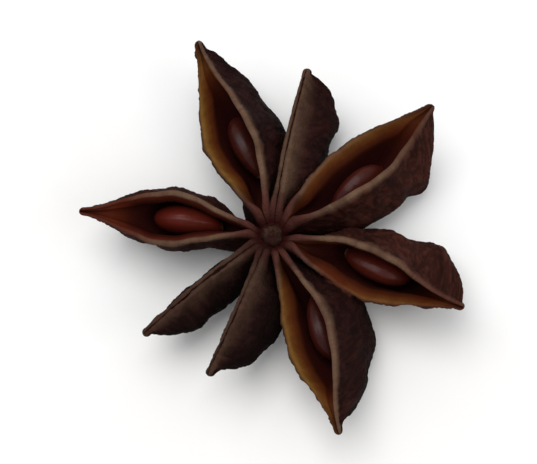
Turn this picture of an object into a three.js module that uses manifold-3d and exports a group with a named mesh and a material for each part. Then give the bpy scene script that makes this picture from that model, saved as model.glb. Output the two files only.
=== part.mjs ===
// A dried star anise: eight boat-shaped carpels grown round a short column, five of them split open
// along their upper seam with a glossy seed in each, three thin and still shut.
// Millimetres and degrees. The column stands on the Z axis, the broken stalk's face is at the origin,
// and the fruit lies on the plane z = 0 with its open seams up.
import * as THREE from "three";
import { mergeVertices } from "three/addons/utils/BufferGeometryUtils.js";
import Module from "manifold-3d";

const wasm = await Module();
wasm.setup();

// Height of the seams where they leave the column, above the surface the fruit lies on.
const SEAM_HEIGHT = 6.25;
// Distance from the axis at which every carpel starts, inside the column.
const ROOT_RADIUS = 0.9;
// Depth of a carpel where it leaves the column.
const ROOT_DEPTH = 4.8;
// How high the seam arches between the column and the beak.
const SEAM_ARCH = 0.7;
// How far the seams dip where they run into the column, and the share of the length it takes.
const ROOT_DIP = 1.3;
const DIP_BY = 0.085;
// Half the thickness of the pair of lips at the column and at the beak.
const LIP_AT_ROOT = 0.56;
const LIP_AT_BEAK = 0.34;
// Depth of the rounded lip edge below its crest.
const LIP_ROUND = 0.26;
// Half the width and the depth of the groove between shut lips. Past the seed chamber an open
// mouth's groove is deeper by this share of half the mouth.
const SEAM_HALF = 0.07;
const SEAM_DEPTH = 0.45;
const GROOVE_SHARE = 0.6;
// The smooth face inside each lip slopes in by this much over this depth.
const FACE_SLOPE = 0.45;
const FACE_DEPTH = 1.2;
// How a blunt outer end fills the body there: its slenderness is the stern to this power, inverted.
const BLUNTING = 0.5;
// How slowly the body's depth and its width give way towards its outer end.
const DEPTH_ENDING = 0.62;
const WIDTH_ENDING = 0.18;
// Where some bodies swell to a blunt outer corner, as a share of the length, and how sharply.
const CORNER_AT = 0.78;
const CORNER_SHARPNESS = 12;
// Half the length of the seed chamber as a share of the carpel's length, and how full its ends
// are: 0.5 is an ellipse's, and more is more pointed.
const CHAMBER_HALF = 0.42;
const CHAMBER_ENDS = 1.5;
// How square the chamber's bottom is: 1 is an ellipse.
const CHAMBER_SQUARE = 1.9;
// Material left under the seed chamber, and the room beside the seed in it.
const KEEL_WALL = 1.0;
const CHAMBER_ROOM = 0.4;
// Depth of the beak where it leaves the body, and the share of the length from which it thins.
const BEAK_DEPTH = 2.0;
const BEAK_THINS_FROM = 0.84;
// The mouth has turned to its full lean at this share of the length.
const LEAN_BY = 0.32;
// Height of the relief on the dried outer skin.
const RELIEF = 0.26;
// The column: radius of the broken stalk, of its thickest part, of the shoulders above and below
// that, and of the button on top.
const STALK_RADIUS = 1.25;
const COLUMN_RADIUS = 2.8;
const SHOULDER_RADIUS = 1.8;
const BUTTON_RADIUS = 0.9;
// The seed's length, height and thickness, and how far its edge lies below the lips.
const SEED = { length: 6.4, height: 4.2, thickness: 2.6, sunk: 1.2 };

// The block that cuts everything flat where the fruit lies.
const GROUND = { side: 60, depth: 10 };

// Sides of a carpel's mesh: stations along it, and spans round its outside.
const STATIONS = 20;
const OUTER_SPANS = 12;
// Shares of the way down the inside of an open and of a shut carpel at which its mesh has points.
const OPEN_STEPS = [0, 0.36, 0.7, 1];
const SHUT_STEPS = [0, 1];
// Sides of the column, and of a seed round it and along it.
const COLUMN_SIDES = 24;
const SEED_AROUND = 14;
const SEED_ALONG = 12;

// The carpels, anticlockwise from above. azimuth and reach place the tip, and bend bows the carpel
// to its left. gape is the width of the open mouth, widest the share of the length at which it is
// widest and ends how fast it narrows from there. belly is the width of the body and depth its
// height, fullest the share of the length at which it is fullest, root how slender it is towards
// the column and stern how blunt its outer end. The beak runs on from the share beak_from of the
// length, and corner is how far the body swells before that. lean turns the mouth to the left as
// seen from the column, droop lowers the outer end and beak turns the tip up. seed is the share of
// the length at which an open carpel's seed sits, and is 0 for a shut one, which has none.
const CARPELS = [
  { name: "right", azimuth: -23.8, reach: 17.3, bend: -0.4, gape: 3.9, widest: 0.46, ends: 1.9,
    belly: 6.5, fullest: 0.67, root: 0.5, depth: 8.0, stern: 2.5, beak_from: 0.98,
    corner: 0.1, lean: -36.0, droop: 0.2, beak: 1.2, seed: 0.5 },
  { name: "back_right", azimuth: 38.7, reach: 17.5, bend: 0.1, gape: 4.7, widest: 0.51, ends: 1.3,
    belly: 4.8, fullest: 0.7, root: 0.6, depth: 6.8, stern: 1.8, beak_from: 0.98,
    corner: 0.12, lean: 25.0, droop: 0.0, beak: 1.6, seed: 0.46 },
  { name: "back", azimuth: 78.6, reach: 14.8, bend: 0.3, gape: 0.0, widest: 0.5, ends: 1.0,
    belly: 3.4, fullest: 0.58, root: 0.36, depth: 5.8, stern: 9.0, beak_from: 0.97,
    corner: 0.08, lean: 31.0, droop: 0.0, beak: 1.0, seed: 0 },
  { name: "back_left", azimuth: 111.3, reach: 18.0, bend: 0.55, gape: 4.2, widest: 0.47, ends: 1.8,
    belly: 6.3, fullest: 0.42, root: 0.62, depth: 8.2, stern: 1.9, beak_from: 0.96,
    corner: 0.0, lean: 34.0, droop: 0.0, beak: 1.5, seed: 0.44 },
  { name: "left", azimuth: 174.4, reach: 16.3, bend: -0.15, gape: 3.8, widest: 0.52, ends: 1.9,
    belly: 5.8, fullest: 0.48, root: 0.85, depth: 7.2, stern: 1.6, beak_from: 0.95,
    corner: 0.0, lean: 17.0, droop: 0.0, beak: 0.8, seed: 0.41 },
  { name: "front_left", azimuth: 220.4, reach: 14.0, bend: -0.3, gape: 0.0, widest: 0.5, ends: 1.0,
    belly: 4.1, fullest: 0.48, root: 0.6, depth: 5.2, stern: 2.4, beak_from: 0.95,
    corner: 0.0, lean: -7.0, droop: 0.0, beak: 0.8, seed: 0 },
  { name: "front", azimuth: 246.6, reach: 13.6, bend: 0.0, gape: 0.0, widest: 0.5, ends: 1.0,
    belly: 3.4, fullest: 0.48, root: 0.5, depth: 5.2, stern: 1.9, beak_from: 0.92,
    corner: 0.0, lean: -36.0, droop: 0.2, beak: 0.9, seed: 0 },
  { name: "front_right", azimuth: 286.8, reach: 18.3, bend: 0.1, gape: 4.1, widest: 0.5, ends: 2.1,
    belly: 5.8, fullest: 0.44, root: 0.45, depth: 8.3, stern: 1.5, beak_from: 0.95,
    corner: 0.0, lean: -40.0, droop: 0.2, beak: 0.8, seed: 0.45 },
];

const HULL_COLOUR = "#4a2b20";
const SEED_COLOUR = "#4e2014";

const rad = THREE.MathUtils.degToRad;
const mix = THREE.MathUtils.lerp;
const smooth = THREE.MathUtils.smoothstep;
const clamp = THREE.MathUtils.clamp;

// A spindle along the length: 0 at both ends and 1 at the peak, more pointed with a larger power.
function spindle(u, peak, power) {
  const even = Math.pow(u, Math.log(0.5) / Math.log(peak));
  return Math.pow(Math.max(0, Math.sin(Math.PI * even)), power);
}

// How full the seed chamber is at share u of the length, 1 where the seed sits.
function chamberFullness(carpel, u) {
  const x = (u - carpel.seed) / CHAMBER_HALF;
  return carpel.seed ? Math.pow(Math.max(0, 1 - x * x), CHAMBER_ENDS) : 0;
}

// Height of the seam above where it leaves the column.
function seamRise(carpel, u) {
  const arch = SEAM_ARCH * spindle(u, 0.45, 1.2) - ROOT_DIP * (1 - smooth(u, 0, DIP_BY));
  return arch - carpel.droop * u + carpel.beak * smooth(u, 0.62, 1) * u;
}

// The body's fullness: 1 up to where it is widest, and 0 from where the beak runs on.
function ending(carpel, u) {
  const past = clamp((u - carpel.fullest) / (carpel.beak_from - carpel.fullest), 0, 1);
  return 1 - Math.pow(past, carpel.stern);
}

// How much the body swells at its outer corner.
function cornering(carpel, u) {
  return 1 + carpel.corner * spindle(u, CORNER_AT, CORNER_SHARPNESS);
}

// Distance from the lips down to the keel: a blunt body, with the thin beak running on past it.
function keelDepth(carpel, u) {
  const inner = 1 - (1 - ROOT_DEPTH / carpel.depth) * Math.pow(Math.max(0, 1 - u / carpel.fullest), 2);
  const body = carpel.depth * inner * Math.pow(ending(carpel, u), DEPTH_ENDING) * cornering(carpel, u);
  const beak = mix(BEAK_DEPTH, 2 * LIP_AT_BEAK, smooth(u, BEAK_THINS_FROM, 1));
  return Math.cbrt(Math.pow(body, 3) + Math.pow(beak, 3));
}

// Low ridges and hollows of the dried skin, by place along and round the carpel.
function relief(along, round, phase) {
  const wander = 1.4 * Math.sin(0.55 * along + phase);
  const ridges = Math.sin(1.5 * along + 1.9 * Math.sin(0.9 * round + phase) + 2.3 * phase);
  const folds = Math.sin(1.25 * round + wander + 1.7 * phase);
  return RELIEF * (0.6 * ridges + 0.55 * folds);
}

// The outside of a carpel's section, from its left lip round the keel to its right lip, as
// [to the left, below the lips].
function outside(carpel, u, rim, depth, phase) {
  const slender = u < carpel.fullest ? carpel.root : Math.pow(carpel.stern, -BLUNTING);
  const fullness =
    spindle(u, carpel.fullest, slender) * Math.pow(ending(carpel, u), WIDTH_ENDING) * cornering(carpel, u);
  const belly = Math.max(rim, (carpel.belly / 2) * fullness + 0.1);
  const fade = Math.min(1, depth / 3) * smooth(u, 0.12, 0.3);
  const points = [];
  for (let i = 0; i <= OUTER_SPANS; i++) {
    const t = 1 - (2 * i) / OUTER_SPANS;
    const down = 1 - Math.abs(t);
    const width = mix(rim, belly, smooth(down, 0, 0.5)) * Math.cos((Math.PI / 2) * Math.pow(down, 1.3));
    const height = LIP_ROUND + (depth - LIP_ROUND) * Math.sin((Math.PI / 2) * down);
    const swell = relief(carpel.reach * u, 5 * t, phase) * smooth(down, 0, 0.35) * fade;
    points.push([Math.sign(t) * (width + swell * (1 - down)), height + swell * down]);
  }
  return points;
}

// The inside of a carpel's section, from its right lip down to the bottom and up to its left lip.
function inside(carpel, u, mouth, gap, depth) {
  const chamber = chamberFullness(carpel, u);
  const groove = SEAM_DEPTH + GROOVE_SHARE * mouth;
  const bottom = groove + chamber * Math.max(0, depth - KEEL_WALL - groove);
  const throat = Math.max(0.6 * gap, gap - FACE_SLOPE);
  const room = Math.max(throat, chamber * (SEED.thickness / 2 + CHAMBER_ROOM));
  const face = Math.min(FACE_DEPTH, bottom / 2);
  const square = mix(1, CHAMBER_SQUARE, Math.min(1, 2 * chamber));
  const half = [];
  for (const down of carpel.seed ? OPEN_STEPS : SHUT_STEPS) {
    if (down === 0) {
      half.push([gap, LIP_ROUND * 0.8], [throat, face]);
    } else {
      const width = room * Math.cos((Math.PI / 2) * Math.pow(down, square));
      half.push([width, face + (bottom - face) * Math.sin((Math.PI / 2) * down)]);
    }
  }
  const right = half.map(([left, below]) => [-left, below]);
  return [...right, ...half.slice(0, -1).reverse()];
}

// The closed section of a carpel at share u of its length.
function section(carpel, u, phase) {
  const mouth = (carpel.gape / 2) * spindle(u, carpel.widest, carpel.ends);
  const rim = mouth + mix(LIP_AT_ROOT, LIP_AT_BEAK, u);
  const gap = SEAM_HALF + 0.92 * mouth;
  const crest = (rim + gap) / 2;
  const depth = keelDepth(carpel, u);
  return [
    ...outside(carpel, u, rim, depth, phase),
    [-crest, 0],
    ...inside(carpel, u, mouth, gap, depth),
    [crest, 0],
  ];
}

// Takes a place in a carpel (share of its length, to the left, below the lips) into the fruit's frame.
function place(carpel, u, left, below) {
  const lean = rad(carpel.lean) * smooth(u, 0, LEAN_BY);
  const sideways = left * Math.cos(lean) - below * Math.sin(lean) + carpel.bend * Math.sin(Math.PI * u);
  const up = SEAM_HEIGHT + seamRise(carpel, u) - left * Math.sin(lean) - below * Math.cos(lean);
  const out = mix(ROOT_RADIUS, carpel.reach, u);
  const a = rad(carpel.azimuth);
  return [out * Math.cos(a) - sideways * Math.sin(a), out * Math.sin(a) + sideways * Math.cos(a), up];
}

// Stations lie closer together towards the blunt outer end.
function station(i) {
  const x = i / (STATIONS - 1);
  return 0.35 * x + 0.65 * Math.sin((Math.PI / 2) * x);
}

// A closed mesh over rings of equal count, with a point closing each end.
function skin(rings, first, last) {
  const count = rings[0].length;
  const points = [...rings.flat(), first, last];
  const faces = [];
  for (let i = 0; i + 1 < rings.length; i++) {
    for (let j = 0; j < count; j++) {
      const a = i * count + j;
      const b = i * count + ((j + 1) % count);
      faces.push(a, a + count, b + count, a, b + count, b);
    }
  }
  const end = (rings.length - 1) * count;
  for (let j = 0; j < count; j++) {
    const k = (j + 1) % count;
    faces.push(rings.length * count, j, k, rings.length * count + 1, end + k, end + j);
  }
  const geometry = new THREE.BufferGeometry();
  geometry.setAttribute("position", new THREE.Float32BufferAttribute(points.flat(), 3));
  geometry.setIndex(faces);
  return geometry;
}

function carpelGeometry(carpel, index) {
  const phase = 1.7 * index + 0.4;
  const rings = [];
  for (let i = 0; i < STATIONS; i++) {
    const u = station(i);
    rings.push(section(carpel, u, phase).map(([left, below]) => place(carpel, u, left, below)));
  }
  const root = place(carpel, 0, 0, ROOT_DEPTH / 2);
  const tip = place(carpel, 1, 0, LIP_AT_BEAK);
  return skin(rings, root, tip);
}

// The seed: a flattened egg standing on its edge, narrower at the end towards the column.
function seedGeometry(carpel) {
  const rings = [];
  const half = SEED.length / 2;
  const centre = SEED.sunk + SEED.height / 2;
  const at = (x, left, up) => place(carpel, carpel.seed + (x * half) / carpel.reach, left, centre - up);
  for (let i = 1; i < SEED_ALONG; i++) {
    const x = -Math.cos((Math.PI * i) / SEED_ALONG);
    const girth = Math.sqrt(1 - x * x) * (1 + 0.12 * x);
    const ring = [];
    for (let j = 0; j < SEED_AROUND; j++) {
      const a = (2 * Math.PI * j) / SEED_AROUND;
      ring.push(at(x, girth * (SEED.thickness / 2) * Math.sin(a), girth * (SEED.height / 2) * Math.cos(a)));
    }
    rings.push(ring);
  }
  return skin(rings, at(-1, 0, 0), at(1, 0, 0));
}

// The column between the carpels, from the broken stalk below to the dimpled button on top. The
// stalk starts a little low, to be cut flat where the fruit lies.
function columnGeometry() {
  const outline = [
    [0, -0.5],
    [STALK_RADIUS, -0.5],
    [STALK_RADIUS + 0.05, 0.5],
    [SHOULDER_RADIUS, 1.1],
    [COLUMN_RADIUS, 1.9],
    [COLUMN_RADIUS, SEAM_HEIGHT - 2.8],
    [SHOULDER_RADIUS, SEAM_HEIGHT - 2.2],
    [1.1, SEAM_HEIGHT - 1.3],
    [BUTTON_RADIUS, SEAM_HEIGHT - 0.78],
    [0.62, SEAM_HEIGHT - 0.55],
    [0.28, SEAM_HEIGHT - 0.66],
    [0, SEAM_HEIGHT - 0.84],
  ];
  const points = outline.map(([radius, height]) => new THREE.Vector2(radius, height));
  return new THREE.LatheGeometry(points, COLUMN_SIDES).rotateX(Math.PI / 2);
}

function solid(geometry) {
  const bare = geometry.clone();
  bare.deleteAttribute("normal");
  bare.deleteAttribute("uv");
  const merged = mergeVertices(bare, 1e-4);
  return new wasm.Manifold(
    new wasm.Mesh({
      numProp: 3,
      vertProperties: merged.attributes.position.array,
      triVerts: new Uint32Array(merged.index.array),
    }),
  );
}

function geometryOf(body) {
  const mesh = body.getMesh();
  const geometry = new THREE.BufferGeometry();
  geometry.setAttribute("position", new THREE.BufferAttribute(mesh.vertProperties, 3));
  geometry.setIndex(new THREE.BufferAttribute(mesh.triVerts, 1));
  geometry.computeVertexNormals();
  return geometry;
}

// The carpels and the column grew as one body. Its keels are worn flat where they rest, and the
// pockets shut in between two touching walls are grown over.
function hullGeometry() {
  let body = solid(columnGeometry());
  CARPELS.forEach((carpel, index) => {
    body = body.add(solid(carpelGeometry(carpel, index)));
  });
  const ground = new THREE.BoxGeometry(GROUND.side, GROUND.side, GROUND.depth);
  ground.translate(0, 0, -GROUND.depth / 2);
  const shells = body.subtract(solid(ground)).decompose();
  return geometryOf(shells.find((shell) => shell.volume() > 0));
}

function piece(name, geometry, material) {
  const mesh = new THREE.Mesh(geometry, material);
  mesh.name = name;
  return mesh;
}

const hullSkin = new THREE.MeshStandardMaterial({ color: HULL_COLOUR, roughness: 0.7, metalness: 0 });
const seedCoat = new THREE.MeshStandardMaterial({ color: SEED_COLOUR, roughness: 0.22, metalness: 0 });

const starAnise = new THREE.Group();
starAnise.add(piece("carpel_star", hullGeometry(), hullSkin));
for (const carpel of CARPELS.filter((c) => c.seed)) {
  starAnise.add(piece(`seed_${carpel.name}`, seedGeometry(carpel), seedCoat));
}

export default starAnise;
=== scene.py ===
"""A dried star anise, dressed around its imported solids.

Eight boat-shaped carpels stand round a short column, grown as one husk. Five have split open along
their upper seam and hold a glossy seed each, three are thin and still shut. Shapes are worked out
in millimetres and placed in the frame in metres, with the column on the Z axis.
"""

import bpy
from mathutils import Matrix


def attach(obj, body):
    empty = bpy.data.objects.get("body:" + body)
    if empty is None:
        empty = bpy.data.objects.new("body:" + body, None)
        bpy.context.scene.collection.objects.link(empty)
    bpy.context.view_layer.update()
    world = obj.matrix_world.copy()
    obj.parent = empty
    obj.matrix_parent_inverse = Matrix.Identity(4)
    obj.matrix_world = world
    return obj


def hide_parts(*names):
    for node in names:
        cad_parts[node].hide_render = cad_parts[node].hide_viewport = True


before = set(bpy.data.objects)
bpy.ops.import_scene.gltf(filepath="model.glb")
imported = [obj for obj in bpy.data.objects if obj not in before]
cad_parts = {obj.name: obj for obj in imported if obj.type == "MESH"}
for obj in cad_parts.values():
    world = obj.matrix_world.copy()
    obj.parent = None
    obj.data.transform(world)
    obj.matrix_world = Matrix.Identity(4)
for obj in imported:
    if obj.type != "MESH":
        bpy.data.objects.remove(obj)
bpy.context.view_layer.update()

import logging
import math
from dataclasses import dataclass
from enum import Enum
from functools import partial
from typing import Callable, Union

import bmesh
import bpy
from mathutils import Vector
from mathutils.kdtree import KDTree

LOG = logging.getLogger("star_anise")

MM = 0.001
HALF_TURN = math.pi
QUARTER = math.pi / 2

# Height of the seams where they leave the column, how high they arch from there and where, and how
# far and by what share of the length they dip into the column.
SEAM_HEIGHT = 6.25
SEAM_ARCH = 0.7
ARCH_AT = 0.45
ARCH_SLENDER = 1.2
ROOT_DIP = 1.3
DIP_BY = 0.085
# The radius at which a carpel starts inside the column, and its depth there.
ROOT_RADIUS = 0.9
ROOT_DEPTH = 4.8
# Half the thickness of the pair of lips at the column and at the beak, and their edge's rounding.
LIP_AT_ROOT = 0.56
LIP_AT_BEAK = 0.34
LIP_ROUND = 0.26
# The groove between shut lips, and how much deeper half an open mouth's width makes it.
SEAM_HALF = 0.07
SEAM_DEPTH = 0.45
GROOVE_SHARE = 0.6
# How far the smooth face inside each lip slopes in, and over what depth.
FACE_SLOPE = 0.45
FACE_DEPTH = 1.2
# How a blunt end fills the body, how slowly its depth and width give way, and its outer corner.
BLUNTING = 0.5
DEPTH_ENDING = 0.62
WIDTH_ENDING = 0.18
CORNER_AT = 0.78
CORNER_SHARPNESS = 12.0
# The seed chamber: half its length, the form of its ends and bottom, and the wall under the seed
# and the room beside it.
CHAMBER_HALF = 0.42
CHAMBER_ENDS = 1.5
CHAMBER_SQUARE = 1.9
KEEL_WALL = 1.0
CHAMBER_ROOM = 0.4
# The beak's depth, and the shares of the length from which it rises and thins.
BEAK_DEPTH = 2.0
BEAK_RISES_FROM = 0.62
BEAK_THINS_FROM = 0.84
# The share of the length by which the mouth has turned to its full lean.
LEAN_BY = 0.32
# Height of the coarse relief of the dried body, and its shift from carpel to carpel in radians.
RELIEF = 0.26
PHASE_START = 0.4
PHASE_STEP = 1.7
# How far apart in the noise the carpels' skins lie, in millimetres for each radian of that shift.
NOISE_APART = 9.0
# Points closer than this are one, in metres.
SAME_POINT = 1e-6


def evening(peak: float) -> float:
    """The power that moves the middle of a hump along the length to peak."""
    return math.log(0.5) / math.log(peak)


class Seam(Enum):
    """Whether a carpel has split along its upper seam."""

    OPEN = 1.0
    SHUT = 0.0


@dataclass(frozen=True)
class Carpel:
    """One carpel's own sizes, in millimetres and degrees.

    azimuth and reach place the tip and bend bows it to its left. gape is the open mouth's width,
    widest where it is widest and ends how fast it narrows from there. belly and depth are the
    body's, fullest where it is fullest, root how slender it is towards the column and stern how
    blunt its outer end. The beak runs on from beak_from of the length, and corner is how far the
    body swells before that. lean turns the mouth to the left, droop lowers the end and beak turns
    the tip up. seed_at is where the seed sits. red is how red the mouth is and warm how light and
    warm the wall, both 0 to 1. warm is partly the wall's own tone and partly painted light: it is
    high on carpels whose walls face the light, and a low warm lets painted shade darken the wall.
    """

    name: str
    azimuth: float
    reach: float
    bend: float
    gape: float
    widest: float
    ends: float
    belly: float
    fullest: float
    root: float
    depth: float
    stern: float
    beak_from: float
    corner: float
    lean: float
    droop: float
    beak: float
    seed_at: float
    red: float
    warm: float
    seam: Seam

    def values(self) -> dict[str, float]:
        """The sizes under the names of the trees' inputs, with angles in radians.

        Returns:
            The sizes by name.
        """
        sizes = {
            name.replace("_", " ").title(): size
            for name, size in vars(self).items()
            if isinstance(size, float)
        }
        sizes["Azimuth"] = math.radians(self.azimuth)
        sizes["Lean"] = math.radians(self.lean)
        sizes["Mouth Evening"] = evening(sizes.pop("Widest"))
        sizes["Belly Evening"] = evening(self.fullest)
        sizes["Split"] = self.seam.value
        return sizes

    def inputs(
        self, stations: int, rounds: int, finish: bpy.types.Material
    ) -> dict[str, object]:
        """All that the tree of this carpel or of its seed takes.

        Args:
            stations: how many points lie along the piece.
            rounds: how many lie round it.
            finish: its material.

        Returns:
            The inputs by name.
        """
        phase = PHASE_STEP * CARPELS.index(self) + PHASE_START
        counts = {"Phase": phase, "Stations": stations, "Rounds": rounds, "Material": finish}
        return self.values() | counts


CARPELS = (
    Carpel(
        "right", -23.8, 17.3, -0.4, 3.9, 0.46, 1.9, 6.5, 0.67, 0.5, 8.0, 2.5, 0.98,
        0.1, -36.0, 0.2, 1.2, 0.5, 0.5, 0.95, Seam.OPEN,
    ),
    Carpel(
        "back_right", 38.7, 17.5, 0.1, 4.7, 0.51, 1.3, 4.8, 0.7, 0.6, 6.8, 1.8, 0.98,
        0.12, 25.0, 0.0, 1.6, 0.46, 0.35, 0.85, Seam.OPEN,
    ),
    Carpel(
        "back", 78.6, 14.8, 0.3, 0.0, 0.5, 1.0, 3.4, 0.58, 0.36, 5.8, 9.0, 0.97,
        0.08, 31.0, 0.0, 1.0, 0.5, 0.1, 0.15, Seam.SHUT,
    ),
    Carpel(
        "back_left", 111.3, 18.0, 0.55, 4.2, 0.47, 1.8, 6.3, 0.42, 0.62, 8.2, 1.9, 0.96,
        0.0, 34.0, 0.0, 1.5, 0.44, 0.1, 0.06, Seam.OPEN,
    ),
    Carpel(
        "left", 174.4, 16.3, -0.15, 3.8, 0.52, 1.9, 5.8, 0.48, 0.85, 7.2, 1.6, 0.95,
        0.0, 17.0, 0.0, 0.8, 0.41, 1.0, 0.45, Seam.OPEN,
    ),
    Carpel(
        "front_left", 220.4, 14.0, -0.3, 0.0, 0.5, 1.0, 4.1, 0.48, 0.6, 5.2, 2.4, 0.95,
        0.0, -7.0, 0.0, 0.8, 0.5, 0.5, 0.0, Seam.SHUT,
    ),
    Carpel(
        "front", 246.6, 13.6, 0.0, 0.0, 0.5, 1.0, 3.4, 0.48, 0.5, 5.2, 1.9, 0.92,
        0.0, -36.0, 0.2, 0.9, 0.5, 0.2, 0.0, Seam.SHUT,
    ),
    Carpel(
        "front_right", 286.8, 18.3, 0.1, 4.1, 0.5, 2.1, 5.8, 0.44, 0.45, 8.3, 1.5, 0.95,
        0.0, -40.0, 0.2, 0.8, 0.45, 0.2, 0.12, Seam.OPEN,
    ),
)
PLACE_INPUTS = ("Azimuth", "Reach", "Bend", "Lean", "Droop", "Beak")
HUSK_MARKS = (
    "grown", "inner", "lip", "below", "down", "cavity", "along", "hub", "button", "red", "warm"
)

Number = Union["Field", float]
Sizes = dict[str, "Field"]
Colour = tuple[float, float, float, float]


def shade(code: str) -> Colour:
    """Turns a colour code such as "#4a2b20" into the linear values that Blender's nodes take.

    Args:
        code: red, green and blue as six hexadecimal digits.

    Returns:
        Red, green, blue and alpha.
    """
    levels = [int(code[i : i + 2], 16) / 255 for i in (1, 3, 5)]
    linear = [x / 12.92 if x <= 0.04045 else ((x + 0.055) / 1.055) ** 2.4 for x in levels]
    return linear[0], linear[1], linear[2], 1.0


def added(name: str, data: bpy.types.ID) -> bpy.types.Object:
    """Adds an object to the scene.

    Args:
        name: its name.
        data: its mesh, light or camera.

    Returns:
        The object.
    """
    thing = bpy.data.objects.new(name, data)
    bpy.context.scene.collection.objects.link(thing)
    return thing


def math_method(operation: str, swapped: bool = False) -> Callable[..., "Field"]:
    """Makes a method of Field that adds one Math node to its tree.

    Args:
        operation: the node's operation.
        swapped: whether the other value goes before the field's own.

    Returns:
        The method, which returns the node's result.
    """

    def method(self: "Field", *others: Number) -> "Field":
        """Adds the node.

        Args:
            *others: what its other inputs take.

        Returns:
            Its result.
        """
        node = self.socket.id_data.nodes.new("ShaderNodeMath")
        node.operation = operation
        for entry, value in zip(node.inputs, (*others, self) if swapped else (self, *others)):
            feed(entry, value)
        return Field(node.outputs[0])

    return method


class Field:
    """A value that varies over a mesh or a surface: one output socket of a node tree.

    Sums, products and the like add a Math node to the tree that the field belongs to. at_least
    and at_most take the larger and the smaller of two, and under is 1 below a limit and else 0.
    """

    def __init__(self, socket: bpy.types.NodeSocket) -> None:
        """Wraps the output socket that carries the value."""
        self.socket = socket

    __add__ = math_method("ADD")
    __radd__ = math_method("ADD", swapped=True)
    __sub__ = math_method("SUBTRACT")
    __rsub__ = math_method("SUBTRACT", swapped=True)
    __mul__ = math_method("MULTIPLY")
    __rmul__ = math_method("MULTIPLY", swapped=True)
    __truediv__ = math_method("DIVIDE")
    __rtruediv__ = math_method("DIVIDE", swapped=True)
    __pow__ = math_method("POWER")
    sin = math_method("SINE")
    cos = math_method("COSINE")
    magnitude = math_method("ABSOLUTE")
    sign = math_method("SIGN")
    at_least = math_method("MAXIMUM")
    at_most = math_method("MINIMUM")
    under = math_method("LESS_THAN")

    def share(self) -> "Field":
        """The value kept between 0 and 1."""
        return self.at_least(0.0).at_most(1.0)

    def ease(self, start: float, end: float) -> "Field":
        """A smooth step.

        Args:
            start: where it is 0.
            end: where it is 1, on either side of start.

        Returns:
            The step.
        """
        low, high = min(start, end), max(start, end)
        node = self.socket.id_data.nodes.new("ShaderNodeMapRange")
        node.interpolation_type = "SMOOTHSTEP"
        feed(node.inputs["Value"], self)
        feed(node.inputs["From Min"], low)
        feed(node.inputs["From Max"], high)
        feed(node.inputs["To Min"], 0.0 if start < end else 1.0)
        feed(node.inputs["To Max"], 1.0 if start < end else 0.0)
        return Field(node.outputs["Result"])


def feed(entry: bpy.types.NodeSocket, value: object) -> None:
    """Links a field or a socket to an input, or sets the input's own value.

    Args:
        entry: the input socket.
        value: a Field, an output socket, or a plain value.
    """
    if isinstance(value, Field):
        value = value.socket
    if isinstance(value, bpy.types.NodeSocket):
        entry.id_data.links.new(value, entry)
    else:
        entry.default_value = value


def mix(start: Number, end: Number, share: Field) -> Field:
    """A value share of the way from start to end."""
    return (1.0 - share) * start + share * end


def spindle(along: Field, even: Number, slender: Number) -> Field:
    """A hump along the length: 0 at both ends and 1 where the power even puts its middle."""
    return (along**even * HALF_TURN).sin().at_least(0.0) ** slender


class Tree:
    """A node tree that is being written: a group, or a material's own tree."""

    def __init__(self, tree: bpy.types.NodeTree) -> None:
        """Wraps the tree."""
        self.tree = tree

    def node(self, kind: str, settings: dict[str, object], **inputs: object) -> bpy.types.Node:
        """Adds a node.

        Args:
            kind: the node's type.
            settings: its properties by name.
            **inputs: what its inputs take, by name, with _ for a space.

        Returns:
            The new node.
        """
        node = self.tree.nodes.new(kind)
        for name, value in settings.items():
            setattr(node, name, value)
        for name, value in inputs.items():
            entry = name.replace("_", " ")
            feed(next(s for s in node.inputs if s.name == entry and s.enabled), value)
        return node

    def noise(self, place: object, scale: Number, detail: float = 2.0, twist: float = 0.0) -> Field:
        """Smooth noise between 0 and 1.

        Args:
            place: the vector to read it at.
            scale: how often it changes over a unit of place.
            detail: how many finer octaves it has.
            twist: how far it is distorted.

        Returns:
            The noise.
        """
        node = self.node(
            "ShaderNodeTexNoise", {}, Vector=place, Scale=scale, Detail=detail, Distortion=twist
        )
        return Field(node.outputs["Fac"])

    def vector(self, x: Number, y: Number, z: Number) -> Field:
        """A vector from its three parts."""
        return Field(self.node("ShaderNodeCombineXYZ", {}, X=x, Y=y, Z=z).outputs[0])

    def scaled(self, vector: object, scale: Number) -> Field:
        """A vector times a number."""
        node = self.node("ShaderNodeVectorMath", {"operation": "SCALE"}, Vector=vector, Scale=scale)
        return Field(node.outputs[0])


class Group(Tree):
    """A node group that is being written, with named inputs and outputs."""

    def __init__(self, name: str, kind: str) -> None:
        """Starts an empty group.

        Args:
            name: the group's name.
            kind: GeometryNodeTree or ShaderNodeTree.
        """
        super().__init__(bpy.data.node_groups.new(name, kind))
        self.entry = self.tree.nodes.new("NodeGroupInput")
        self.exit = self.tree.nodes.new("NodeGroupOutput")

    def take(self, name: str, kind: str = "Float", value: object = None) -> Field:
        """Adds a named input.

        Args:
            name: the input's name.
            kind: the last part of its socket type's name.
            value: its default, where it has one.

        Returns:
            The input's value as a field.
        """
        socket = self.tree.interface.new_socket(
            name=name, in_out="INPUT", socket_type=f"NodeSocket{kind}"
        )
        if value is not None:
            socket.default_value = value
        return Field(self.entry.outputs[name])

    def give(self, name: str, value: object, kind: str = "Float") -> None:
        """Adds a named output.

        Args:
            name: the output's name.
            value: the field or socket that it puts out.
            kind: the last part of its socket type's name.
        """
        self.tree.interface.new_socket(name=name, in_out="OUTPUT", socket_type=f"NodeSocket{kind}")
        feed(self.exit.inputs[name], value)


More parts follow.
